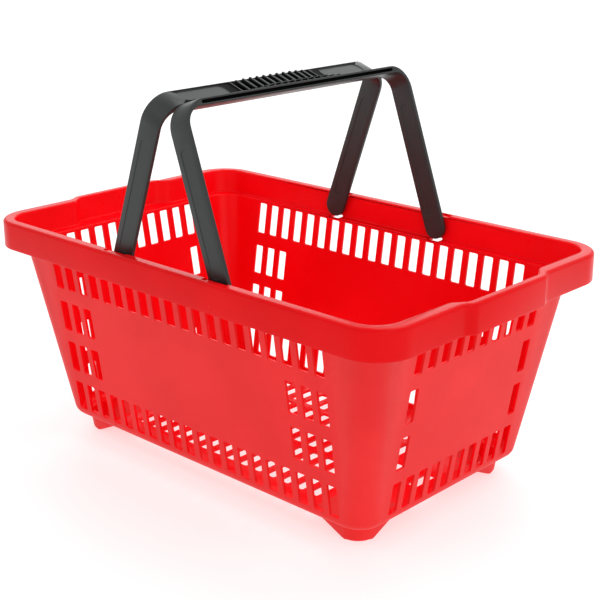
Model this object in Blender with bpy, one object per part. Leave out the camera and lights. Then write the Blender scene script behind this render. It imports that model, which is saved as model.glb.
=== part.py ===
"""Hand shopping basket: one moulded basket body and two moulded carrying handles.

Metres, +Z up. The origin is the middle of the basket's footprint, on the surface it
stands on. X runs along the basket's long sides, Y across it.
"""
import math

import bmesh
import bpy
from mathutils import Matrix, Vector

# Rim: a downward-open channel, skirt outside and band inside
RIM_HALF_X = 0.2400
RIM_HALF_Y = 0.1533
RIM_CORNER = 0.0354
RIM_TOP = 0.2106
SKIRT_HEIGHT = 0.0257
FLANGE_SIDE = 0.0106
FLANGE_END = 0.0125
BAND_DRAFT = 0.0010
EDGE_ROUND = 0.0016
STEP_FALLS = ((0.0, 0.0), (0.33, 0.26), (0.67, 0.74), (1.0, 1.0))

# Finger room: the middle of each short end bulges out
BULGE_OUTER = 0.0055
BULGE_INNER = 0.0094
OUTER_STEP = (0.045, 0.058)
INNER_STEP = (0.046, 0.064)

# Walls: outer half-sizes grow with height
WALL = 0.0025
WALL_X = 0.1866
WALL_X_SLOPE = 0.1737
WALL_Y = 0.1092
WALL_Y_SLOPE = 0.1486
WALL_CORNER_LOW = 0.025
WALL_CORNER_HIGH = 0.020
LEDGE = 0.1870
FLOOR_BOTTOM = 0.0158
FLOOR_THICKNESS = 0.0028
BOTTOM_ROUND = 0.0085
ROUND_SHARE = 0.3

# Slots
PITCH = 0.0170
SLOT_WIDTH = 0.0103
SLOT_REACH = 0.0240
FLOOR_SLOT_REACH = 0.0120
SIDE_COLUMNS = 20
END_COLUMNS = 10
SIDE_BLOCK = 3
END_BLOCK = 1
ROW_TOP = (0.1526, 0.1838)
ROW_UPPER = (0.1096, 0.1391)
ROW_LOWER = (0.0674, 0.0972)
ROW_BOTTOM = (0.0262, 0.0550)
FLOOR_COLUMNS = 20
FLOOR_ROWS = 5
FLOOR_PITCH_Y = 0.0350
FLOOR_SLOT_LENGTH = 0.0280

# Feet
FOOT_INSET = 0.0100
FOOT_DRAFT = 0.0020
FOOT_OVERLAP = 0.0010
FOOT_CORNER = 0.017
FOOT_LENGTH = 0.056
FOOT_FLAT = 0.019

# Handles: a flat strap bent to a U
PIVOT_X = 0.0627
PIVOT_Z = 0.1990
LEAN = math.radians(19.5)
STRAP_WIDTH = 0.0223
STRAP_OUTER_Y = 0.1400
STRAP_CHAMFER = 0.0007
LEG_THICKNESS = 0.0036
BAR_THICKNESS = 0.0064
HANDLE_REACH = 0.1546
BEND_OUTER = 0.0230
BEND_INNER = 0.0145
END_ANGLES = (80, 62, 44, 28, 13, 0)
GROOVE_DEPTH = 0.0065
GROOVE_WIDTH = 0.0028
GROOVE_HALF_LENGTH = 0.1190
RIBS = 13
RIB_PITCH = 0.0086
RIB_LENGTH = 0.0180
RIB_THICKNESS = 0.0022
RIB_HEIGHT = 0.0026
RIB_OVERLAP = 0.0010

# Sockets and pegs that carry the handles
PEG_RADIUS = 0.0045
BORE_RADIUS = 0.0050
PEG_TIP_Y = 0.1470
SHOULDER_RADIUS = 0.0070
SHOULDER_Y = 0.1412
SOCKET_HALF_X = 0.0150
SOCKET_BOTTOM = 0.1885
SOCKET_TOP = 0.2096
SOCKET_SHIFT = 0.0006
BORE_START_Y = 0.1380
BORE_END_Y = 0.1478
POCKET_X = 0.0575
POCKET_LENGTH = 0.0290
POCKET_DEPTH = 0.0032
POCKET_INNER_Y = 0.1380
POCKET_OUTER_Y = 0.1490
WINDOW_SIZE = (0.0120, 0.0050, 0.0070)
WINDOW_Y = 0.1384
SHOULDER_OVERLAP = 0.0015

ARC_STEPS = 6
ROUND_SIDES = 20


def clear_scene():
    for old in list(bpy.data.objects):
        bpy.data.objects.remove(old, do_unlink=True)


def plastic(name, colour, roughness):
    material = bpy.data.materials.new(name)
    material.use_nodes = True
    shader = material.node_tree.nodes["Principled BSDF"]
    shader.inputs["Base Color"].default_value = (*colour, 1.0)
    shader.inputs["Roughness"].default_value = roughness
    shader.inputs["Metallic"].default_value = 0.0
    material.diffuse_color = (*colour, 1.0)
    return material


def add_object(name, mesh, material=None):
    obj = bpy.data.objects.new(name, mesh)
    bpy.context.scene.collection.objects.link(obj)
    if material:
        mesh.materials.append(material)
    return obj


def mesh_from(work, name):
    bmesh.ops.recalc_face_normals(work, faces=work.faces)
    mesh = bpy.data.meshes.new(name)
    work.to_mesh(mesh)
    work.free()
    mesh.shade_smooth()
    mesh.set_sharp_from_angle(angle=math.radians(30))
    return mesh


def arc(centre_x, centre_y, radius, start):
    """A quarter circle, counter-clockwise from the start angle in degrees."""
    angles = [math.radians(start + 90 * i / ARC_STEPS) for i in range(ARC_STEPS + 1)]
    return [(centre_x + radius * math.cos(a), centre_y + radius * math.sin(a)) for a in angles]


def ring(half_x, half_y, radius, z, bulge=0.0, step=INNER_STEP):
    """A rounded rectangle at height z whose short ends bulge out between the steps."""
    inner, outer = step
    half_end = [(half_x + bulge * (1 - fall), inner + (outer - inner) * share)
                for share, fall in STEP_FALLS]
    end = [(x, -y) for x, y in reversed(half_end)] + half_end
    cx = half_x - radius
    cy = half_y - radius
    outline = end + arc(cx, cy, radius, 0) + arc(-cx, cy, radius, 90)
    outline += [(-x, -y) for x, y in end] + arc(-cx, -cy, radius, 180) + arc(cx, -cy, radius, 270)
    return [Vector((x, y, z)) for x, y in outline]


def wall_ring(z, inset=0.0):
    share = z / RIM_TOP
    radius = WALL_CORNER_LOW + (WALL_CORNER_HIGH - WALL_CORNER_LOW) * share - inset
    return ring(WALL_X + WALL_X_SLOPE * z - inset, WALL_Y + WALL_Y_SLOPE * z - inset, radius, z)


def rim_ring(inset, z, bulge=BULGE_OUTER):
    return ring(RIM_HALF_X - inset, RIM_HALF_Y - inset, RIM_CORNER - inset, z, bulge, OUTER_STEP)


def band_ring(offset, z):
    """The band's face: offset is measured outwards from the flange's inner edge."""
    half_x = RIM_HALF_X - FLANGE_END + offset
    half_y = RIM_HALF_Y - FLANGE_SIDE + offset
    return ring(half_x, half_y, RIM_CORNER - FLANGE_END + offset, z, BULGE_INNER, INNER_STEP)


def lowered(outline, z):
    return [Vector((p.x, p.y, z)) for p in outline]


def body_profile():
    """Rings from the middle of the basket's floor, over the rim, to its underside."""
    floor_top = FLOOR_BOTTOM + FLOOR_THICKNESS
    skirt_bottom = RIM_TOP - SKIRT_HEIGHT
    inner_round = BOTTOM_ROUND - WALL
    inner_share = ROUND_SHARE * inner_round
    outer_share = ROUND_SHARE * BOTTOM_ROUND
    return [
        wall_ring(floor_top, WALL + inner_round),
        wall_ring(floor_top + inner_share, WALL + inner_share),
        wall_ring(floor_top + inner_round, WALL),
        wall_ring(LEDGE, WALL),
        band_ring(-BAND_DRAFT, LEDGE),
        band_ring(0.0, RIM_TOP - EDGE_ROUND),
        band_ring(EDGE_ROUND, RIM_TOP),
        rim_ring(EDGE_ROUND, RIM_TOP),
        rim_ring(0.0, RIM_TOP - EDGE_ROUND),
        rim_ring(0.0, skirt_bottom),
        rim_ring(WALL, skirt_bottom),
        rim_ring(WALL, RIM_TOP - WALL),
        band_ring(WALL, RIM_TOP - WALL),
        band_ring(WALL - BAND_DRAFT, LEDGE - WALL),
        wall_ring(LEDGE - WALL),
        wall_ring(FLOOR_BOTTOM + BOTTOM_ROUND),
        lowered(wall_ring(FLOOR_BOTTOM, outer_share), FLOOR_BOTTOM + outer_share),
        wall_ring(FLOOR_BOTTOM, BOTTOM_ROUND),
    ]


def loft(rings, name):
    """Joins the rings in order and closes both ends."""
    work = bmesh.new()
    loops = [[work.verts.new(point) for point in outline] for outline in rings]
    count = len(loops[0])
    for low, high in zip(loops, loops[1:]):
        for i in range(count):
            j = (i + 1) % count
            work.faces.new((low[i], low[j], high[j], high[i]))
    work.faces.new(loops[0])
    work.faces.new(reversed(loops[-1]))
    return mesh_from(work, name)


def add_box(work, centre, size):
    placed = Matrix.Translation(Vector(centre)) @ Matrix.Diagonal((*size, 1.0))
    bmesh.ops.create_cube(work, size=1.0, matrix=placed)


def add_rod(work, start_y, end_y, x, z, radius):
    """A round bar along Y."""
    middle = Matrix.Translation((x, (start_y + end_y) / 2, z))
    turned = middle @ Matrix.Rotation(math.radians(90), 4, "X")
    bmesh.ops.create_cone(work, cap_ends=True, segments=ROUND_SIDES, radius1=radius,
                          radius2=radius, depth=abs(end_y - start_y), matrix=turned)


def columns(count):
    return [(i - (count - 1) / 2) * PITCH for i in range(count)]


def outermost(places, block):
    return places[:block] + places[-block:]


def wall_rows(places, block):
    """Each row of wall slots: its lower and upper edge, and the places of its slots."""
    return [(ROW_TOP, places), (ROW_UPPER, outermost(places, block)),
            (ROW_LOWER, outermost(places, block)), (ROW_BOTTOM, places)]


def wall_slots(work):
    for (low, high), places in wall_rows(columns(SIDE_COLUMNS), SIDE_BLOCK):
        middle = (low + high) / 2
        y = WALL_Y + WALL_Y_SLOPE * middle - WALL / 2
        for x in places:
            for side in (-1, 1):
                add_box(work, (x, side * y, middle), (SLOT_WIDTH, SLOT_REACH, high - low))
    for (low, high), places in wall_rows(columns(END_COLUMNS), END_BLOCK):
        middle = (low + high) / 2
        x = WALL_X + WALL_X_SLOPE * middle - WALL / 2
        for y in places:
            for side in (-1, 1):
                add_box(work, (side * x, y, middle), (SLOT_REACH, SLOT_WIDTH, high - low))


def over_foot(x, y):
    return abs(x) > WALL_X - FOOT_INSET - FOOT_LENGTH and abs(y) > FLOOR_PITCH_Y / 2


def floor_slots(work):
    size = (SLOT_WIDTH, FLOOR_SLOT_LENGTH, FLOOR_SLOT_REACH)
    for x in columns(FLOOR_COLUMNS):
        for row in range(FLOOR_ROWS):
            y = (row - (FLOOR_ROWS - 1) / 2) * FLOOR_PITCH_Y
            if not over_foot(x, y):
                add_box(work, (x, y, FLOOR_BOTTOM), size)


def cutter(name, fill):
    work = bmesh.new()
    fill(work)
    obj = add_object(name, mesh_from(work, name))
    obj.hide_render = True
    obj.display_type = "WIRE"
    return obj


def boolean(target, name, operand, operation):
    step = target.modifiers.new(name, "BOOLEAN")
    step.operation = operation
    step.solver = "EXACT"
    step.object = operand


def foot_outline(inset, length, corner, z):
    """One foot's plan in the +X +Y corner: a rounded outer corner, three plain ones."""
    far_x = WALL_X - inset
    far_y = WALL_Y - inset
    outline = arc(far_x - corner, far_y - corner, corner, 0)
    outline += [(far_x - length, far_y), (far_x - length, far_y - length), (far_x, far_y - length)]
    return [Vector((x, y, z)) for x, y in outline]


def feet(work):
    top = foot_outline(FOOT_INSET - FOOT_DRAFT, FOOT_LENGTH, FOOT_CORNER,
                       FLOOR_BOTTOM + FOOT_OVERLAP)
    bottom = foot_outline(FOOT_INSET, FOOT_FLAT, FOOT_CORNER, 0.0)
    for sx in (-1, 1):
        for sy in (-1, 1):
            loops = [[work.verts.new((sx * p.x, sy * p.y, p.z)) for p in outline]
                     for outline in (bottom, top)]
            for i in range(len(bottom)):
                j = (i + 1) % len(bottom)
                work.faces.new((loops[0][i], loops[0][j], loops[1][j], loops[1][i]))
            work.faces.new(loops[0])
            work.faces.new(loops[1])


def each_pivot():
    return [(x, side) for x in (-PIVOT_X, PIVOT_X) for side in (-1, 1)]


def socket_blocks(work):
    """Solid blocks in the rim's channel that hold the handles' pegs."""
    low_y = RIM_HALF_Y - FLANGE_SIDE + SOCKET_SHIFT
    high_y = RIM_HALF_Y - WALL + SOCKET_SHIFT
    size = (2 * SOCKET_HALF_X, high_y - low_y, SOCKET_TOP - SOCKET_BOTTOM)
    for x, side in each_pivot():
        add_box(work, (x, side * (low_y + high_y) / 2, (SOCKET_BOTTOM + SOCKET_TOP) / 2), size)


def socket_bores(work):
    for x, side in each_pivot():
        add_rod(work, side * BORE_START_Y, side * BORE_END_Y, x, PIVOT_Z, BORE_RADIUS)


def rim_pockets(work):
    """The relief in the flange over each socket, and the drain window in the ledge."""
    size = (POCKET_LENGTH, POCKET_OUTER_Y - POCKET_INNER_Y, 2 * POCKET_DEPTH)
    middle_y = (POCKET_INNER_Y + POCKET_OUTER_Y) / 2
    for x, side in each_pivot():
        add_box(work, (math.copysign(POCKET_X, x), side * middle_y, RIM_TOP), size)
        add_box(work, (x, side * WINDOW_Y, LEDGE), WINDOW_SIZE)


def make_body(material):
    body = add_object("basket_body", loft(body_profile(), "basket_body"), material)
    boolean(body, "feet", cutter("feet_blocks", feet), "UNION")
    boolean(body, "sockets", cutter("socket_blocks", socket_blocks), "UNION")
    boolean(body, "bores", cutter("socket_bores", socket_bores), "DIFFERENCE")
    boolean(body, "pockets", cutter("rim_pockets", rim_pockets), "DIFFERENCE")
    boolean(body, "wall_slots", cutter("wall_slots", wall_slots), "DIFFERENCE")
    boolean(body, "floor_slots", cutter("floor_slots", floor_slots), "DIFFERENCE")
    return body


def strap_bend(outer_radius, side_y, top):
    """Quarter bend of one face of the strap, from the -Y leg to the crossbar."""
    centre_y = outer_radius - side_y
    centre_up = top - outer_radius
    angles = [math.radians(180 - 90 * i / ARC_STEPS) for i in range(ARC_STEPS + 1)]
    return [(centre_y + outer_radius * math.cos(a), centre_up + outer_radius * math.sin(a))
            for a in angles]


def strap_stations():
    """Along the U from the -Y end: a point of the outer face, one of the inner face, and
    the share of the strap's width."""
    inner_y = STRAP_OUTER_Y - LEG_THICKNESS
    stations = []
    for degrees in END_ANGLES:
        angle = math.radians(degrees)
        up = -STRAP_WIDTH / 2 * math.sin(angle)
        stations.append(((-STRAP_OUTER_Y, up), (-inner_y, up), math.cos(angle)))
    outer = strap_bend(BEND_OUTER, STRAP_OUTER_Y, HANDLE_REACH)
    inner = strap_bend(BEND_INNER, inner_y, HANDLE_REACH - BAR_THICKNESS)
    stations += [(far, near, 1.0) for far, near in zip(outer, inner)]
    mirrored = [((-far[0], far[1]), (-near[0], near[1]), share)
                for far, near, share in reversed(stations)]
    return stations + mirrored


def strap_loop(far, near, share):
    """One cross-section of the strap: a flat oblong with chamfered corners."""
    wide = STRAP_WIDTH / 2 * share
    far = Vector((0.0, *far))
    near = Vector((0.0, *near))
    chamfer = STRAP_CHAMFER * (near - far).normalized()
    narrow = wide - STRAP_CHAMFER * share
    half = [Vector((narrow, 0, 0)) + far, Vector((wide, 0, 0)) + far + chamfer,
            Vector((wide, 0, 0)) + near - chamfer, Vector((narrow, 0, 0)) + near]
    return half + [Vector((-p.x, p.y, p.z)) for p in reversed(half)]


def strap_mesh(name):
    """The strap in the handle's own frame: origin on the pivot line, reach along +Z."""
    work = bmesh.new()
    loops = [[work.verts.new(point) for point in strap_loop(*station)]
             for station in strap_stations()]
    count = len(loops[0])
    for first, second in zip(loops, loops[1:]):
        for i in range(count):
            j = (i + 1) % count
            work.faces.new((first[i], first[j], second[j], second[i]))
    work.faces.new(loops[0])
    work.faces.new(loops[-1])
    return mesh_from(work, name)


def grooves(work):
    """A groove along each edge of the crossbar, which leaves an I section."""
    middle = HANDLE_REACH - BAR_THICKNESS / 2
    for side in (-1, 1):
        centre = (side * STRAP_WIDTH / 2, 0.0, middle)
        add_box(work, centre, (2 * GROOVE_DEPTH, 2 * GROOVE_HALF_LENGTH, GROOVE_WIDTH))


def grip_ribs(work):
    """Cross ribs that stand up from the middle of the crossbar."""
    size = (RIB_LENGTH, RIB_THICKNESS, RIB_HEIGHT + RIB_OVERLAP)
    middle = HANDLE_REACH + (RIB_HEIGHT - RIB_OVERLAP) / 2
    for i in range(RIBS):
        add_box(work, (0.0, (i - (RIBS - 1) / 2) * RIB_PITCH, middle), size)


def pegs(work):
    """Shouldered pegs that point outwards from the lower ends of the legs."""
    profile = [(STRAP_OUTER_Y - SHOULDER_OVERLAP, SHOULDER_RADIUS), (SHOULDER_Y, SHOULDER_RADIUS),
               (SHOULDER_Y, PEG_RADIUS), (PEG_TIP_Y, PEG_RADIUS)]
    angles = [2 * math.pi * i / ROUND_SIDES for i in range(ROUND_SIDES)]
    for side in (-1, 1):
        loops = [[work.verts.new((r * math.cos(a), side * y, r * math.sin(a))) for a in angles]
                 for y, r in profile]
        for first, second in zip(loops, loops[1:]):
            for i in range(ROUND_SIDES):
                j = (i + 1) % ROUND_SIDES
                work.faces.new((first[i], first[j], second[j], second[i]))
        work.faces.new(loops[0])
        work.faces.new(loops[-1])


def make_handle(name, side, material):
    """side is -1 for the handle on -X, +1 for the one on +X; it leans towards the middle."""
    pivot = bpy.data.objects.new(name + "_axis", None)
    bpy.context.scene.collection.objects.link(pivot)
    pivot.location = (side * PIVOT_X, 0.0, PIVOT_Z)
    pivot.rotation_euler = (0.0, -side * LEAN, 0.0)
    handle = add_object(name, strap_mesh(name), material)
    handle.parent = pivot
    steps = (("grooves", grooves, "DIFFERENCE"), ("ribs", grip_ribs, "UNION"),
             ("pegs", pegs, "UNION"))
    for part, fill, operation in steps:
        piece = cutter(name + "_" + part, fill)
        piece.parent = pivot
        boolean(handle, part, piece, operation)
    return handle


def main():
    clear_scene()
    red = plastic("red_plastic", (0.80, 0.012, 0.016), 0.30)
    black = plastic("black_plastic", (0.030, 0.033, 0.034), 0.38)
    make_body(red)
    make_handle("handle_left", -1, black)
    make_handle("handle_right", 1, black)


main()
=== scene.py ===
import math
from contextlib import contextmanager

import bmesh
import bpy
from mathutils import Matrix, Vector


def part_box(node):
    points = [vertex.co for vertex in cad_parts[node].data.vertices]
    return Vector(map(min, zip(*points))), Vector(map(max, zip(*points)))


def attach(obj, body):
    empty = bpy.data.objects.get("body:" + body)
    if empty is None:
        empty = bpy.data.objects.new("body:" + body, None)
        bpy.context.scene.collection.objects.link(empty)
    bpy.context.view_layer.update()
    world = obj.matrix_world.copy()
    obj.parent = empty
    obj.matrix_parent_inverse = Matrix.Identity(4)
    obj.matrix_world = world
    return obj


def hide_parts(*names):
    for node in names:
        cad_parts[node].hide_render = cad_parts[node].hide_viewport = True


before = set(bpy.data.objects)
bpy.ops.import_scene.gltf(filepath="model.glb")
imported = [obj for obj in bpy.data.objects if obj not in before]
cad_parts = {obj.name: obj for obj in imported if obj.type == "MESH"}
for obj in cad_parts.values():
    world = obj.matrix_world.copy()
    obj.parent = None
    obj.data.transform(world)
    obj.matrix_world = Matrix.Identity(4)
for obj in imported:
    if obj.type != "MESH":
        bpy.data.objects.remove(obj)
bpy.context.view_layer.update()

# Rim, in metres: the basket's box gives it, and the rest of the body hangs from it
BODY_LOW, BODY_HIGH = (Vector(corner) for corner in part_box("basket_body"))
BULGE_OUTER = 0.0055
BULGE_INNER = 0.0094
RIM_X = BODY_HIGH.x - BULGE_OUTER
RIM_Y = BODY_HIGH.y
RIM_TOP = BODY_HIGH.z
RIM_CORNER = 0.0354
SKIRT = 0.0257
FLANGE_SIDE = 0.0106
FLANGE_END = 0.0125
BAND_DRAFT = 0.0010
LEDGE = 0.1870
OUTER_STEP = (0.045, 0.058)
INNER_STEP = (0.046, 0.064)
BULGE_COLUMNS = 6
CORNER_STEPS = 12
UPRIGHT_ANGLE = math.radians(60)
RIM_ROUND_OUTER = 0.0030
RIM_ROUND_INNER = 0.0017
LEDGE_ROUND = 0.0012
SKIRT_ROUND = 0.0009

# Walls: outer half-sizes grow with height
WALL = 0.0025
WALL_X = 0.1866
WALL_X_SLOPE = 0.1737
WALL_Y = 0.1092
WALL_Y_SLOPE = 0.1486
WALL_CORNER = 0.0200
FLOOR_UNDER = 0.0158
FLOOR_TOP = 0.0186
FLOOR_ROUND = 0.0060
FLOOR_ROUND_STEPS = 5
SHARP_ANGLE = math.radians(48)
FLAT_ANGLE = math.radians(1)

# Slots
PITCH = 0.0170
SLOT_WIDTH = 0.0103
SLOT_CORNER = 0.0013
SLOT_REACH = 0.0240
SLOT_ROUND = 0.00045
SIDE_SLOTS = 20
END_SLOTS = 10
SIDE_GROUP = 3
FLOOR_SLOTS_BETWEEN_FEET = 14
FULL_ROWS = ((0.1526, 0.1838), (0.0262, 0.0550))
SHORT_ROWS = ((0.1096, 0.1391), (0.0674, 0.0972))
FLOOR_PITCH = 0.0350
FLOOR_SLOT = 0.0280

# Feet
FOOT_FAR_X = 0.1786
FOOT_FAR_Y = 0.1012
FOOT_LENGTH = 0.0560
FOOT_FLAT = 0.0190
FOOT_INSET = 0.0020
FOOT_CORNER = 0.0165
FOOT_SIDE_ROUND = 0.0035
FOOT_UNDER_ROUND = 0.0018
FOOT_OVERLAP = 0.0010

# Handles: a flat strap bent to a U, drawn upright with the pivot line at the origin
PIVOT = {"left_handle": -0.0627, "right_handle": 0.0627}
PIVOT_Z = 0.1990
LEAN = math.radians(19.5)
STRAP_WIDTH = 0.0223
STRAP_Y = 0.1400
LEG = 0.0036
BAR = 0.0064
END_ROUND_SHARE = 0.98
REACH = 0.1546
BEND_OUTER = 0.0230
BEND_INNER = 0.0145
STRAP_ROUND = 0.0006
DETAIL_ROUND = 0.00018
GROOVE = (0.0065, 0.1190, 0.0028)
PANEL = (0.0150, 0.0005)
PANEL_ENDS = (0.0600, 0.1120)
CHANNEL = (0.0110, 0.0004)
CHANNEL_ENDS = (0.0120, 0.1180)
RIBS = 13
RIB_PITCH = 0.0082
RIB_WIDTH = 0.0180
RIB_THICK = 0.0027
RIB_HEIGHTS = (0.0010, 0.0017, 0.0023, 0.0026)
RIB_POCKET = (0.0156, 0.0054, 0.0012)
TROUGH_ROUND_SHARE = 0.45
PANEL_ROUND_SHARE = 0.40
RIB_ROUND_SHARE = 0.80
PEG = 0.0045
PEG_TIP = 0.1470

# Sockets, pockets and drain windows in the rim
BORE = 0.0050
BORE_END = 0.1478
SOCKET_HALF = 0.0150
SOCKET_BOTTOM = 0.1885
POCKET_SHIFT = 0.0010
POCKET_HALF = 0.0130
POCKET_Y = (0.1380, 0.1490)
POCKET_DEPTH = 0.0016
POCKET_CORNER = 0.0015
WINDOW_HALF = 0.0060
WINDOW_LIP = (0.1335, 0.1861)
WINDOW_BACK = (0.1372, 0.1820)
WINDOW_FAR = (0.1465, 0.1884)

NEAR = 0.0001

# Colours: one red plastic in three copies. It is brighter for the inside as painted light. It is a
# little pinker and satin for the outer walls, and the pink is painted reflection of the pale
# floor. It is darker for the rim and skirt as painted shade.
INSIDE_PAINTED_LIGHT_RED = ((0.92, 0.0006, 0.0040, 1), (0.99, 0.0012, 0.0060, 1))
WALL_PAINTED_REFLECTION_RED = ((0.78, 0.010, 0.011, 1), (0.84, 0.014, 0.015, 1))
RIM_PAINTED_SHADE_RED = ((0.70, 0.0006, 0.0020, 1), (0.76, 0.0012, 0.0034, 1))


# Bench tools
def only(*pieces):
    """Selects just these objects and makes the first of them active."""
    bpy.ops.object.select_all(action="DESELECT")
    for piece in pieces:
        piece.select_set(True)
    bpy.context.view_layer.objects.active = pieces[0]


@contextmanager
def editing(piece):
    """Edit mode on one piece for as long as the block lasts."""
    only(piece)
    bpy.ops.object.mode_set(mode="EDIT")
    yield
    bpy.ops.object.mode_set(mode="OBJECT")


def middle(item):
    """The middle of a face or an edge, or a point's own place."""
    if isinstance(item, bmesh.types.BMVert):
        return item.co
    corners = [v.co for v in item.verts]
    return sum(corners, Vector()) / len(corners)


def pick(kind, test):
    """Selects the faces, edges or points that pass the test, in edit mode."""
    bpy.ops.mesh.select_mode(type=kind)
    bpy.ops.mesh.select_all(action="DESELECT")
    mesh = bpy.context.object.data
    work = bmesh.from_edit_mesh(mesh)
    for item in {"VERT": work.verts, "EDGE": work.edges, "FACE": work.faces}[kind]:
        if test(item):
            item.select_set(True)
    work.select_flush_mode()
    bmesh.update_edit_mesh(mesh)


def lies(axis, place=None):
    """A test for edges that run along an axis, and whose middle suits the place test."""
    def test(edge):
        start, end = (v.co for v in edge.verts)
        along = abs((end - start).normalized()[axis]) > 0.97
        return along and (place is None or place(middle(edge)))
    return test


def rises(edge):
    return abs(edge.verts[0].co.z - edge.verts[1].co.z) > NEAR


def all_at(edge, height):
    return all(abs(v.co.z - height) < NEAR for v in edge.verts)


def round_edges(test, radius, steps):
    pick("EDGE", test)
    bpy.ops.mesh.bevel(offset=radius, segments=steps, affect="EDGES")


def drop_faces(test):
    pick("FACE", test)
    bpy.ops.mesh.delete(type="FACE")


def face_inwards():
    """Turns every face of an outward-facing sheet to look into the basket."""
    bpy.ops.mesh.select_all(action="SELECT")
    bpy.ops.mesh.flip_normals()


def block(name, low, high):
    """A plain box between two corners, with its place in its mesh."""
    low, high = Vector(low), Vector(high)
    bpy.ops.object.select_all(action="DESELECT")
    bpy.ops.mesh.primitive_cube_add(size=1, location=(low + high) / 2)
    piece = bpy.context.object
    piece.name = name
    piece.scale = high - low
    bpy.ops.object.transform_apply(location=True, rotation=True, scale=True)
    return piece


def rod(name, radius, start, end, steps=32):
    """A round bar between two points."""
    start, end = Vector(start), Vector(end)
    turn = (end - start).to_track_quat("Z", "Y").to_euler()
    bpy.ops.object.select_all(action="DESELECT")
    bpy.ops.mesh.primitive_cylinder_add(vertices=steps, radius=radius, depth=(end - start).length,
                                        location=(start + end) / 2, rotation=turn)
    piece = bpy.context.object
    piece.name = name
    bpy.ops.object.transform_apply(location=True, rotation=True, scale=True)
    return piece


def finish_with(piece, kind, **settings):
    """Adds a modifier and applies it."""
    only(piece)
    step = piece.modifiers.new(kind.lower(), kind)
    for key, value in settings.items():
        setattr(step, key, value)
    bpy.ops.object.modifier_apply(modifier=step.name)


def joined(name, pieces):
    """Joins the pieces into one object with this name."""
    only(*pieces)
    if len(pieces) > 1:
        bpy.ops.object.join()
    bpy.context.object.name = name
    return bpy.context.object


def cut(piece, tool, operation="DIFFERENCE"):
    """Cuts a tool out of a piece, or adds it, and puts the tool away."""
    finish_with(piece, "BOOLEAN", operation=operation, solver="EXACT", object=tool)
    bpy.data.objects.remove(tool, do_unlink=True)


def mirrored(piece, **axes):
    """A copy of a piece on the other side, with its own mesh the right way out."""
    only(piece)
    bpy.ops.object.duplicate()
    twin = bpy.context.object
    twin.scale = (-1 if axes.get("x") else 1, -1 if axes.get("y") else 1, 1)
    bpy.ops.object.transform_apply(location=True, rotation=True, scale=True)
    with editing(twin):
        bpy.ops.mesh.select_all(action="SELECT")
        bpy.ops.mesh.normals_make_consistent(inside=False)
    return twin


def rounded_cuboid(name, low, high, axis, radius, steps=3):
    """A box whose four edges along one axis are rounded."""
    piece = block(name, low, high)
    with editing(piece):
        round_edges(lies(axis), radius, steps)
    return piece


# Basket body
def bulge_columns(step):
    """Where the bulge's side is scored across, and the share of the bulge that each has."""
    inner, outer = step
    shares = [i / BULGE_COLUMNS for i in range(BULGE_COLUMNS + 1)]
    return [(inner + (outer - inner) * t, 1 - t * t * (3 - 2 * t)) for t in shares]


def score_ends(step):
    """Scores the two short ends from top to bottom along the bulge's columns."""
    for y, _ in bulge_columns(step):
        for side in (-1, 1):
            pick("FACE", lambda face: abs(face.normal.x) > 0.95)
            bpy.ops.mesh.bisect(plane_co=(0, side * y, 0), plane_no=(0, 1, 0))


def push_ends(step, bulge):
    """Moves the middle of each short end outwards, easing off between the steps."""
    columns = bulge_columns(step)
    inner = columns[0][0]
    for y, share in columns[:-1]:
        for side in (-1, 1):
            def in_column(point):
                at_end = point.co.x * side > RIM_X / 2
                if y == inner:
                    return at_end and abs(point.co.y) < y + NEAR
                return at_end and abs(abs(point.co.y) - y) < NEAR
            pick("VERT", in_column)
            bpy.ops.transform.translate(value=(side * bulge * share, 0, 0))


def upright_band(name, half_x, half_y, corner, low, high):
    """A four-sided band with round corners, open above and below."""
    band = block(name, (-half_x, -half_y, low), (half_x, half_y, high))
    with editing(band):
        round_edges(lies(2), corner, CORNER_STEPS)
        drop_faces(lambda face: abs(face.normal.z) > 0.9)
    return band


def rim_skirt():
    skirt = upright_band("skirt", RIM_X, RIM_Y, RIM_CORNER, RIM_TOP - SKIRT, RIM_TOP)
    with editing(skirt):
        score_ends(OUTER_STEP)
        push_ends(OUTER_STEP, BULGE_OUTER)
    return skirt


def rim_inner_band():
    half_x = RIM_X - FLANGE_END
    half_y = RIM_Y - FLANGE_SIDE
    band = upright_band("band", half_x, half_y, RIM_CORNER - FLANGE_END, LEDGE, RIM_TOP)
    with editing(band):
        score_ends(INNER_STEP)
        push_ends(INNER_STEP, BULGE_INNER)
        pick("VERT", lambda point: point.co.z < LEDGE + NEAR)
        bpy.ops.transform.resize(value=(1 - BAND_DRAFT / half_x, 1 - BAND_DRAFT / half_y, 1),
                                 center_override=(0, 0, LEDGE))
        face_inwards()
    return band


def tub():
    """The inner face of the walls and floor."""
    low_x, high_x = (WALL_X + WALL_X_SLOPE * z - WALL for z in (FLOOR_TOP, LEDGE))
    low_y, high_y = (WALL_Y + WALL_Y_SLOPE * z - WALL for z in (FLOOR_TOP, LEDGE))
    piece = block("tub", (-low_x, -low_y, FLOOR_TOP), (low_x, low_y, LEDGE))
    with editing(piece):
        pick("FACE", lambda face: face.normal.z > 0.9)
        bpy.ops.transform.resize(value=(high_x / low_x, high_y / low_y, 1),
                                 center_override=(0, 0, LEDGE))
        round_edges(rises, WALL_CORNER, CORNER_STEPS)
        drop_faces(lambda face: face.normal.z > 0.9)
        round_edges(lambda edge: all_at(edge, FLOOR_TOP), FLOOR_ROUND, FLOOR_ROUND_STEPS)
        score_ends(INNER_STEP)
        face_inwards()
    return piece


def bridge(height):
    """Bridges the two open loops at a height."""
    pick("EDGE", lambda edge: edge.is_boundary and all_at(edge, height))
    bpy.ops.mesh.bridge_edge_loops()


def faces_out(edge):
    """Whether the upright face beside a level edge looks away from the basket's middle."""
    upright = min(edge.link_faces, key=lambda face: abs(face.normal.z))
    return upright.normal.dot(middle(edge) * Vector((1, 1, 0))) > 0


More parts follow.
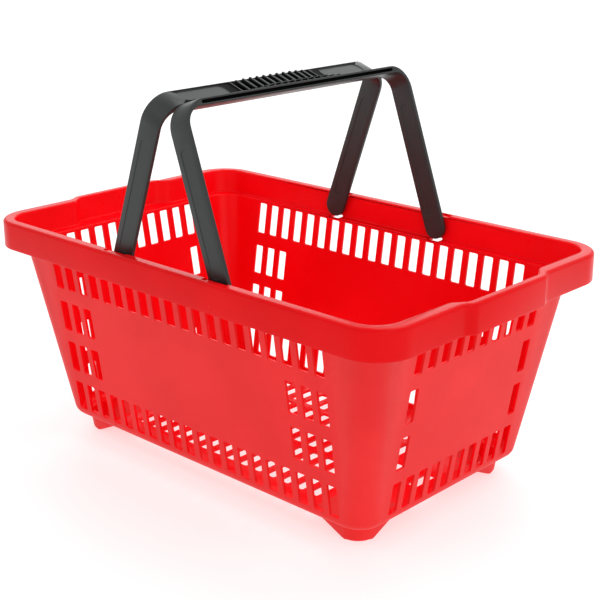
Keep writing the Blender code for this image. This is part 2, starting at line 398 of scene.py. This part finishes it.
def round_loops(height, radius, steps, outward=None):
    """Rounds the hard edges that lie level at a height, on both sides or on one."""
    round_edges(lambda edge: all_at(edge, height)
                and edge.calc_face_angle(0) > UPRIGHT_ANGLE
                and (outward is None or faces_out(edge) == outward), radius, steps)


def shell():
    """The whole moulding as one sheet, from the floor over the rim, made thick."""
    piece = joined("basket_moulding", [tub(), rim_inner_band(), rim_skirt()])
    with editing(piece):
        bridge(LEDGE)
        bridge(RIM_TOP)
    finish_with(piece, "SOLIDIFY", thickness=WALL, offset=-1, use_even_offset=True)
    with editing(piece):
        pick("FACE", lambda face: abs(face.normal.x) > 0.9 and middle(face).z < LEDGE - WALL)
        bpy.ops.mesh.dissolve_limited(angle_limit=FLAT_ANGLE)
        round_loops(RIM_TOP, RIM_ROUND_INNER, 4, outward=False)
        round_loops(RIM_TOP, RIM_ROUND_OUTER, 5, outward=True)
        round_loops(LEDGE, LEDGE_ROUND, 3)
        round_loops(RIM_TOP - SKIRT, SKIRT_ROUND, 3)
    return piece


def slot_row(axis, first, count, size):
    """A row of slot cutters, repeated at the pitch along an axis from the first one's place."""
    half = Vector(size) / 2
    through = size.index(SLOT_REACH)
    bar = rounded_cuboid("slot", first - half, first + half, through, SLOT_CORNER)
    step = [0, 0, 0]
    step[axis] = PITCH
    finish_with(bar, "ARRAY", use_relative_offset=False, use_constant_offset=True,
                constant_offset_displace=step, count=count)
    return bar


def first_of(count):
    """The place of the first of a row of slots that is centred on the middle."""
    return -(count - 1) / 2 * PITCH


def wall_slots():
    """Every slot in the four walls: full rows, and short rows at the corners only."""
    rows = []
    side_first = first_of(SIDE_SLOTS)
    end_first = first_of(END_SLOTS)
    last_group = -side_first - (SIDE_GROUP - 1) * PITCH
    for side in (-1, 1):
        for low, high in FULL_ROWS + SHORT_ROWS:
            z = (low + high) / 2
            y = side * (WALL_Y + WALL_Y_SLOPE * z)
            x = side * (WALL_X + WALL_X_SLOPE * z)
            side_size = (SLOT_WIDTH, SLOT_REACH, high - low)
            end_size = (SLOT_REACH, SLOT_WIDTH, high - low)
            side_runs = [(side_first, SIDE_SLOTS)]
            end_runs = [(end_first, END_SLOTS)]
            if (low, high) in SHORT_ROWS:
                side_runs = [(side_first, SIDE_GROUP), (last_group, SIDE_GROUP)]
                end_runs = [(end_first, 1), (-end_first, 1)]
            rows += [slot_row(0, Vector((start, y, z)), count, side_size)
                     for start, count in side_runs]
            rows += [slot_row(1, Vector((x, start, z)), count, end_size)
                     for start, count in end_runs]
    return joined("wall_slots", rows)


def floor_slots():
    """Five rows of slots in the floor: the middle one runs its whole length."""
    rows = []
    for row in (-2, -1, 0, 1, 2):
        count = FLOOR_SLOTS_BETWEEN_FEET if row else SIDE_SLOTS
        place = Vector((first_of(count), row * FLOOR_PITCH, FLOOR_UNDER))
        rows.append(slot_row(0, place, count, (SLOT_WIDTH, FLOOR_SLOT, SLOT_REACH)))
    return joined("floor_slots", rows)


def foot(inset, low, high):
    """One foot's pressing, in the corner towards +X and +Y: inset shrinks it all round."""
    far = Vector((FOOT_FAR_X - inset, FOOT_FAR_Y - inset, high))
    near = Vector((FOOT_FAR_X - FOOT_LENGTH + inset, FOOT_FAR_Y - FOOT_LENGTH + inset, low))
    piece = block("foot", near, far)
    flat = FOOT_FLAT - 2 * inset
    share_x = flat / (far.x - near.x)
    share_y = flat / (far.y - near.y)
    with editing(piece):
        pick("FACE", lambda face: face.normal.z < -0.9)
        bpy.ops.transform.resize(value=(share_x, share_y, 1), center_override=(far.x, far.y, low))
        bpy.ops.transform.translate(value=(-FOOT_INSET, -FOOT_INSET, 0))
        round_edges(lambda edge: rises(edge) and middle(edge).x > near.x + FOOT_FLAT
                    and middle(edge).y > near.y + FOOT_FLAT
                    and (middle(edge) - far).length < FOOT_FLAT, FOOT_CORNER - inset, 8)
        round_edges(lambda edge: rises(edge) and edge.calc_length() > 2 * (high - low),
                    FOOT_SIDE_ROUND, 4)
        round_edges(lambda edge: all_at(edge, low), FOOT_UNDER_ROUND, 3)
    return piece


def four_feet(inset, low, high):
    """The foot in all four corners."""
    one = foot(inset, low, high)
    pair = joined("foot_pair", [one, mirrored(one, x=True)])
    return joined("feet", [pair, mirrored(pair, y=True)])


def each_pivot():
    """Each leg's place: the handle's pivot along X, and the side of the basket along Y."""
    return [(x, side) for x in PIVOT.values() for side in (-1, 1)]


def sockets():
    """Blocks in the rim's channel that take the handles' pegs."""
    blocks = []
    for x, side in each_pivot():
        inner = side * (RIM_Y - FLANGE_SIDE + WALL / 4)
        outer = side * (RIM_Y - WALL * 3 / 4)
        low = (x - SOCKET_HALF, min(inner, outer), SOCKET_BOTTOM)
        high = (x + SOCKET_HALF, max(inner, outer), RIM_TOP - WALL / 2)
        blocks.append(block("socket", low, high))
    return joined("sockets", blocks)


def bores():
    """The blind holes that the pegs turn in."""
    return joined("bores", [rod("bore", BORE, (x, side * POCKET_Y[0], PIVOT_Z),
                                (x, side * BORE_END, PIVOT_Z)) for x, side in each_pivot()])


def pockets():
    """The reliefs in the flange beside the handles' legs."""
    tools = []
    for x, side in each_pivot():
        inner, outer = sorted(side * y for y in POCKET_Y)
        centre = x - math.copysign(POCKET_SHIFT, x)
        low = (centre - POCKET_HALF, inner, RIM_TOP - POCKET_DEPTH)
        high = (centre + POCKET_HALF, outer, RIM_TOP + POCKET_DEPTH)
        tools.append(rounded_cuboid("pocket", low, high, 2, POCKET_CORNER))
    return joined("pockets", tools)


def windows(start):
    """The drain holes under the legs, from a start across the basket and in height."""
    start_y, bottom = start
    far_y, top = WINDOW_FAR
    tools = []
    for x, side in each_pivot():
        inner, outer = sorted((side * start_y, side * far_y))
        tools.append(block("window", (x - WINDOW_HALF, inner, bottom),
                           (x + WINDOW_HALF, outer, top)))
    return joined("windows", tools)


def looks_outward(face):
    """Whether a face looks away from the basket's middle, seen from above."""
    return face.normal.dot(middle(face) * Vector((1, 1, 0))) > 0


def on_rim(face):
    """Whether a face is on the skirt or the flange."""
    height = middle(face).z
    return height > RIM_TOP - NEAR or (looks_outward(face) and height > RIM_TOP - SKIRT - NEAR)


def on_wall_outside(face):
    return looks_outward(face) and abs(face.normal.z) < 0.9 and not on_rim(face)


def basket_body(inside, outside, rim):
    """The whole basket: the moulding, its feet and sockets, and everything cut in it."""
    piece = shell()
    cut(piece, four_feet(0, BODY_LOW.z, FLOOR_UNDER + FOOT_OVERLAP), "UNION")
    cut(piece, four_feet(WALL, BODY_LOW.z + WALL, FLOOR_TOP + FOOT_OVERLAP))
    cut(piece, sockets(), "UNION")
    cut(piece, bores())
    cut(piece, pockets())
    cut(piece, windows(WINDOW_LIP))
    cut(piece, windows(WINDOW_BACK))
    cut(piece, wall_slots())
    cut(piece, floor_slots())
    with editing(piece):
        pick("EDGE", lambda edge: edge.calc_face_angle(0) > SHARP_ANGLE
             and not all_at(edge, LEDGE - WALL))
        bpy.ops.transform.edge_bevelweight(value=1)
    only(piece)
    bpy.ops.object.shade_smooth()
    finish_with(piece, "BEVEL", width=SLOT_ROUND, segments=2, limit_method="WEIGHT",
                use_clamp_overlap=False, harden_normals=True)
    # Three copies of one red. The brighter painted light goes on every face but the outer walls
    # and the rim. The pinker painted reflection goes on the outer walls. The darker painted shade
    # goes on the rim and skirt.
    piece.data.materials.clear()
    for plastic in (inside, outside, rim):
        piece.data.materials.append(plastic)
    with editing(piece):
        for place, test in ((1, on_wall_outside), (2, on_rim)):
            pick("FACE", test)
            piece.active_material_index = place
            bpy.ops.object.material_slot_assign()
    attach(piece, "basket")
    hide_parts("basket_body")


# Handles
def strap():
    """The U of the strap: its outside, less its inside, with round lower ends."""
    half = STRAP_WIDTH / 2
    piece = block("strap", (-half, -STRAP_Y, -half), (half, STRAP_Y, REACH))
    with editing(piece):
        round_edges(lies(0, lambda p: p.z > REACH - NEAR), BEND_OUTER, CORNER_STEPS)
    inner_y = STRAP_Y - LEG
    inside = block("inside", (-half * 2, -inner_y, -half * 2), (half * 2, inner_y, REACH - BAR))
    with editing(inside):
        round_edges(lies(0, lambda p: p.z > REACH - BAR - NEAR), BEND_INNER, CORNER_STEPS)
    cut(piece, inside)
    with editing(piece):
        round_edges(lies(1, lambda p: p.z < -half + NEAR), half * END_ROUND_SHARE, 10)
    return piece


def grooves():
    """Two long round-ended troughs, one in each edge of the crossbar."""
    depth, half_length, height = GROOVE
    z = REACH - BAR / 2
    tools = []
    for side in (-1, 1):
        inner, outer = sorted((side * (STRAP_WIDTH / 2 - depth), side * STRAP_WIDTH))
        low = (inner, -half_length, z - height / 2)
        high = (outer, half_length, z + height / 2)
        tools.append(rounded_cuboid("groove", low, high, 0, height * TROUGH_ROUND_SHARE, 4))
    return joined("grooves", tools)


def grip_ribs():
    """Cross ribs that stand up from the middle of the crossbar, lower towards its ends."""
    ribs = []
    for i in range(RIBS):
        y = (i - (RIBS - 1) / 2) * RIB_PITCH
        from_end = min(i, RIBS - 1 - i, len(RIB_HEIGHTS) - 1)
        top = REACH + RIB_HEIGHTS[from_end]
        rib = block("rib", (-RIB_WIDTH / 2, y - RIB_THICK / 2, REACH - BAR / 4),
                    (RIB_WIDTH / 2, y + RIB_THICK / 2, top))
        with editing(rib):
            round_edges(lies(0, lambda p: p.z > top - NEAR),
                        RIB_HEIGHTS[0] * RIB_ROUND_SHARE, 3)
        ribs.append(rib)
    return joined("ribs", ribs)


def rib_pockets():
    """The sunk floors between the ribs."""
    width, length, depth = RIB_POCKET
    tools = []
    for i in range(RIBS - 1):
        y = (i - RIBS / 2 + 1) * RIB_PITCH
        tools.append(block("rib_pocket", (-width / 2, y - length / 2, REACH - depth),
                           (width / 2, y + length / 2, REACH + depth)))
    return joined("rib_pockets", tools)


def panels():
    """Shallow round-ended panels sunk in the crossbar's top, on each side of the grip."""
    width, depth = PANEL
    tools = []
    for side in (-1, 1):
        low_y, high_y = sorted(side * y for y in PANEL_ENDS)
        tools.append(rounded_cuboid("panel", (-width / 2, low_y, REACH - depth),
                                    (width / 2, high_y, REACH + depth),
                                    2, width * PANEL_ROUND_SHARE, 8))
    return joined("panels", tools)


def channels():
    """Shallow round-ended channels down both faces of each leg."""
    width, depth = CHANNEL
    tools = []
    for side in (-1, 1):
        for face in (STRAP_Y, STRAP_Y - LEG):
            low_y, high_y = sorted(side * (face + way * depth) for way in (-1, 1))
            tools.append(rounded_cuboid("channel", (-width / 2, low_y, CHANNEL_ENDS[0]),
                                        (width / 2, high_y, CHANNEL_ENDS[1]),
                                        1, width * PANEL_ROUND_SHARE, 8))
    return joined("channels", tools)


def pegs():
    """The two pegs that the handle turns on."""
    inner = STRAP_Y - LEG / 2
    return joined("pegs", [rod("peg", PEG, (0, side * inner, 0), (0, side * PEG_TIP, 0))
                           for side in (-1, 1)])


def in_rib_pocket(face):
    """Whether a face is a wall or the floor of a space between two ribs."""
    place = middle(face)
    lowest = REACH - BAR / 3
    inside = abs(place.x) < RIB_WIDTH / 2 and abs(place.y) < RIBS / 2 * RIB_PITCH
    sunk = lowest < place.z < REACH + RIB_HEIGHTS[0]
    return inside and (sunk or (place.z > lowest and abs(face.normal.y) > 0.8))


def in_groove(face):
    """Whether a face is inside one of the crossbar's two side troughs."""
    depth, half_length, height = GROOVE
    place = middle(face)
    level = abs(place.z - REACH + BAR / 2) < height / 2 + NEAR
    deep = abs(place.x) < STRAP_WIDTH / 2 - STRAP_ROUND
    return level and deep and abs(place.y) < half_length + NEAR


def handle(body, node, plastic, shade):
    """One handle, modelled upright on its pivot line and then leaned to the middle."""
    piece = strap()
    cut(piece, grooves())
    finish_with(piece, "BEVEL", width=STRAP_ROUND, segments=3, limit_method="ANGLE",
                angle_limit=math.radians(40), use_clamp_overlap=True)
    cut(piece, panels())
    cut(piece, channels())
    cut(piece, rib_pockets())
    cut(piece, grip_ribs(), "UNION")
    cut(piece, pegs(), "UNION")
    only(piece)
    bpy.ops.object.shade_smooth()
    finish_with(piece, "BEVEL", width=DETAIL_ROUND, segments=2, limit_method="ANGLE",
                angle_limit=SHARP_ANGLE, use_clamp_overlap=False, harden_normals=True)
    piece.data.materials.clear()
    piece.data.materials.append(plastic)
    piece.data.materials.append(shade)
    # The rib pockets and side troughs get the near-black painted shade
    with editing(piece):
        pick("FACE", lambda face: in_rib_pocket(face) or in_groove(face))
        piece.active_material_index = 1
        bpy.ops.object.material_slot_assign()
    piece.name = body + "_moulding"
    side = math.copysign(1, PIVOT[body])
    piece.matrix_world = (Matrix.Translation((PIVOT[body], 0, PIVOT_Z))
                          @ Matrix.Rotation(-side * LEAN, 4, "Y"))
    only(piece)
    bpy.ops.object.transform_apply(location=True, rotation=True, scale=True)
    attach(piece, body)
    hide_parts(node)


# Finishes
class Value:
    """A shader socket that takes part in maths: an expression adds its Math nodes."""

    def __init__(self, finish, socket):
        self.finish = finish
        self.socket = socket

    def maths(self, operation, first, second):
        return self.finish.node("ShaderNodeMath", {"operation": operation}, {0: first, 1: second})

    def __add__(self, other):
        return self.maths("ADD", self, other)

    def __mul__(self, other):
        return self.maths("MULTIPLY", self, other)

    __radd__ = __add__
    __rmul__ = __mul__


class Finish:
    """A material built node by node on a Principled shader."""

    def __init__(self, name, **constants):
        self.material = bpy.data.materials.new(name)
        self.material.use_nodes = True
        self.tree = self.material.node_tree
        self.shader = self.tree.nodes["Principled BSDF"]
        for key, value in constants.items():
            self.shader.inputs[key.replace("_", " ")].default_value = value

    def node(self, kind, settings=None, sockets=None, output=0):
        """Adds a node with its settings and its sockets' values, and gives one output."""
        node = self.tree.nodes.new(kind)
        for key, value in (settings or {}).items():
            setattr(node, key, value)
        for key, value in (sockets or {}).items():
            self.feed(node.inputs[key], value)
        return Value(self, node.outputs[output])

    def feed(self, socket, value):
        if isinstance(value, Value):
            self.tree.links.new(value.socket, socket)
        else:
            socket.default_value = value

    def paint(self, **channels):
        for key, value in channels.items():
            self.feed(self.shader.inputs[key.replace("_", " ")], value)

    def place(self):
        return self.node("ShaderNodeTexCoord", output="Object")

    def noise(self, place, scale, detail=3.0, roughness=0.5):
        return self.node("ShaderNodeTexNoise", {"noise_dimensions": "3D"},
                         {"Vector": place, "Scale": scale, "Detail": detail,
                          "Roughness": roughness})

    def ramp(self, value, low, high):
        """0 below low, 1 above high, smooth between."""
        return self.node("ShaderNodeMapRange", {"interpolation_type": "SMOOTHSTEP"},
                         {"Value": value, "From Min": low, "From Max": high})

    def blend(self, share, first, second):
        return self.node("ShaderNodeMix", {"data_type": "RGBA"},
                         {"Factor": share, 6: first, 7: second}, output=2)

    def bump(self, height, distance, strength):
        return self.node("ShaderNodeBump", None, {"Height": height, "Distance": distance,
                                                  "Strength": strength})


def moulded_red(name, tones, gloss, shine):
    """Moulded polypropylene, a little uneven in colour, with fine grain and dull scuffs."""
    finish = Finish(name, Specular_IOR_Level=shine)
    place = finish.place()
    cloud = finish.ramp(finish.noise(place, 14.0), 0.35, 0.70)
    fine = finish.noise(place, 900.0, detail=2.0)
    grain = finish.noise(place, 120.0, detail=4.0, roughness=0.6)
    scuffs = finish.ramp(finish.noise(place, 45.0, detail=6.0, roughness=0.7), 0.62, 0.80)
    finish.paint(Base_Color=finish.blend(cloud, *tones),
                 Roughness=gloss + 0.10 * grain + 0.12 * scuffs,
                 Normal=finish.bump(grain + 0.5 * fine, 0.00004, 0.35))
    return finish.material


def satin_black():
    """Satin black polypropylene with a fine moulded grain."""
    finish = Finish("satin_black", Specular_IOR_Level=0.45)
    place = finish.place()
    cloud = finish.ramp(finish.noise(place, 22.0), 0.30, 0.75)
    tone = finish.blend(cloud, (0.013, 0.0165, 0.016, 1), (0.020, 0.0245, 0.024, 1))
    grain = finish.noise(place, 1400.0, detail=2.0)
    finish.paint(Base_Color=tone, Roughness=0.34 + 0.10 * cloud,
                 Normal=finish.bump(grain, 0.00005, 0.4))
    return finish.material


def shaded_black():
    """The same plastic painted near black as shade between the grip's ribs and in the crossbar's
    side troughs, a little mottled.
    """
    finish = Finish("shaded_black", Specular_IOR_Level=0.1)
    shade_mottle = finish.ramp(finish.noise(finish.place(), 300.0), 0.45, 0.75)
    finish.paint(Base_Color=finish.blend(shade_mottle, (0.002, 0.002, 0.002, 1), (0.005, 0.005, 0.005, 1)),
                 Roughness=0.7 + 0.1 * shade_mottle)
    return finish.material


# Stage
CAMERA_PLACE = Vector((0.7824, -0.8157, 0.5227))
CAMERA_AIM = Vector((0.0037, 0.0146, 0.1430))
CAMERA_LENS = 78.126


def camera():
    """A three-quarter view from above the near corner."""
    data = bpy.data.cameras.new("camera")
    data.lens = CAMERA_LENS
    data.sensor_width = 36.0
    view = bpy.data.objects.new("camera", data)
    view.location = CAMERA_PLACE
    view.rotation_euler = (CAMERA_AIM - CAMERA_PLACE).to_track_quat("-Z", "Y").to_euler()
    bpy.context.scene.collection.objects.link(view)
    bpy.context.scene.camera = view


def floor():
    """A plain pale floor, a little luminous, that reads as white."""
    bpy.ops.object.select_all(action="DESELECT")
    bpy.ops.mesh.primitive_plane_add(size=12, location=(0, 0, -0.0002))
    ground = bpy.context.object
    ground.name = "floor"
    finish = Finish("pale_floor", Roughness=0.6)
    finish.paint(Base_Color=(0.48, 0.48, 0.48, 1), Emission_Color=(1, 1, 1, 1),
                 Emission_Strength=0.60)
    ground.data.materials.append(finish.material)


def softbox(name, place, aim, size, power):
    """A large soft lamp that looks at a point."""
    data = bpy.data.lights.new(name, "AREA")
    data.shape = "RECTANGLE"
    data.size, data.size_y = size
    data.energy = power
    lamp = bpy.data.objects.new(name, data)
    lamp.location = place
    lamp.rotation_euler = (Vector(aim) - Vector(place)).to_track_quat("-Z", "Y").to_euler()
    bpy.context.scene.collection.objects.link(lamp)


def studio():
    """Even white light all round, with four soft lamps."""
    world = bpy.data.worlds.new("studio")
    world.use_nodes = True
    sky = world.node_tree.nodes["Background"]
    sky.inputs["Color"].default_value = (1.0, 1.0, 1.0, 1.0)
    sky.inputs["Strength"].default_value = 0.80
    bpy.context.scene.world = world
    softbox("key", (-0.6, -1.6, 1.8), (0, 0, 0.1), (1.2, 1.2), 2)
    softbox("fill", (1.8, -0.6, 1.0), (0, 0, 0.1), (1.2, 1.2), 5)
    softbox("top", (0.2, 0.8, 2.0), (0, 0, 0.1), (1.6, 1.0), 13)
    softbox("back", (-1.6, 1.7, 1.15), (0, 0, 0.15), (2.2, 1.0), 8)
    bpy.context.scene.view_settings.view_transform = "Standard"


camera()
studio()
floor()
# One red in three copies: painted light inside, painted reflection on the outer walls, painted
# shade on the rim
basket_body(moulded_red("inside_red_painted_light", INSIDE_PAINTED_LIGHT_RED, gloss=0.24, shine=0.10),
            moulded_red("wall_red_painted_reflection", WALL_PAINTED_REFLECTION_RED, gloss=0.42, shine=0.22),
            moulded_red("rim_red_painted_shade", RIM_PAINTED_SHADE_RED, gloss=0.20, shine=0.10))
black = satin_black()
shade = shaded_black()
handle("left_handle", "handle_left", black, shade)
handle("right_handle", "handle_right", black, shade)
